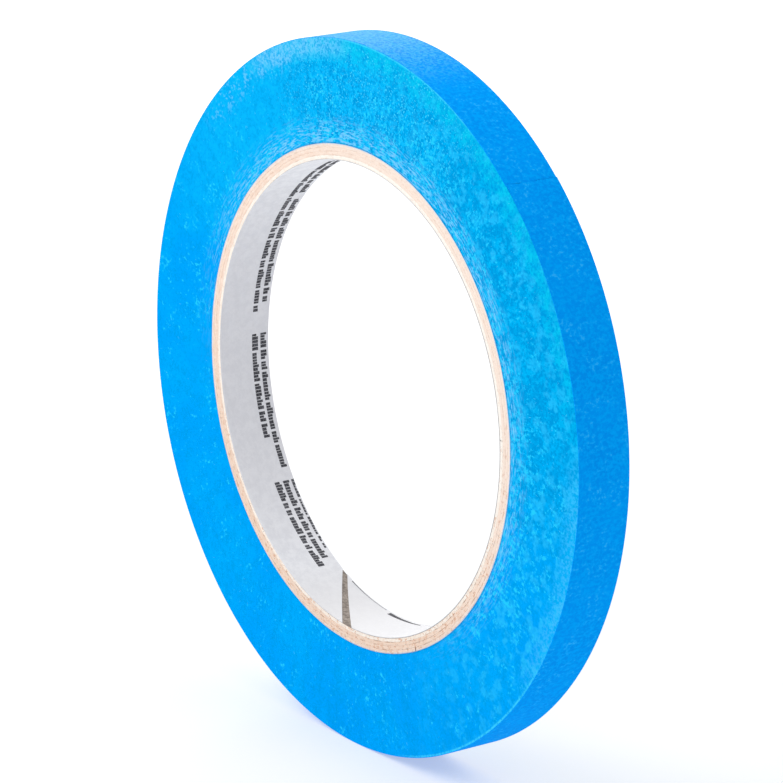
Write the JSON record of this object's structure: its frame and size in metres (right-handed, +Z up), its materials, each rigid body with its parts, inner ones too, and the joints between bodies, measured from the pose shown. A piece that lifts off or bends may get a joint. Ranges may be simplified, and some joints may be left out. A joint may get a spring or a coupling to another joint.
{
  "type": "masking tape roll",
  "caption": "Narrow roll of blue paper masking tape on a spirally wound board core with a printed white liner; the cut end of the tape peels up.",
  "frame": {"origin": "on the axis of the core's bore, half way across the tape's width", "axes": "+Y along the roll's axis, +Z up with the roll standing on its edge; the cut end of the tape is up and to the +X side"},
  "size_m": [0.1149, 0.0094, 0.1149],
  "materials": {
    "liner_paper": "smooth uncoated white paper with small black print",
    "core_board_cream": "cut edge of cream core board, fibrous",
    "core_board_tan": "cut edge of tan core board, fibrous",
    "tape_paper": "blue fine paper tape, satin on its outside, slit and slightly fibrous on the roll's sides",
    "tape_adhesive": "thin coat of tacky adhesive over the blue paper"
  },
  "bodies": {
    "roll": {"core_liner": "liner_paper", "core_inner_ply": "core_board_cream", "core_second_ply": "core_board_tan", "core_third_ply": "core_board_tan", "core_outer_ply": "core_board_cream", "wound_tape": "tape_paper", "outer_turn": "tape_paper"},
    "free_end": {"free_end_backing": "tape_paper", "free_end_adhesive": "tape_adhesive"}
  },
  "joints": [
    {"name": "free_end_peel", "type": "hinge", "parent": "roll", "child": "free_end", "pos_m": [0.05333, 0, 0.02164], "axis": [0, 1, 0], "range_deg": [0, 150]}
  ]
}
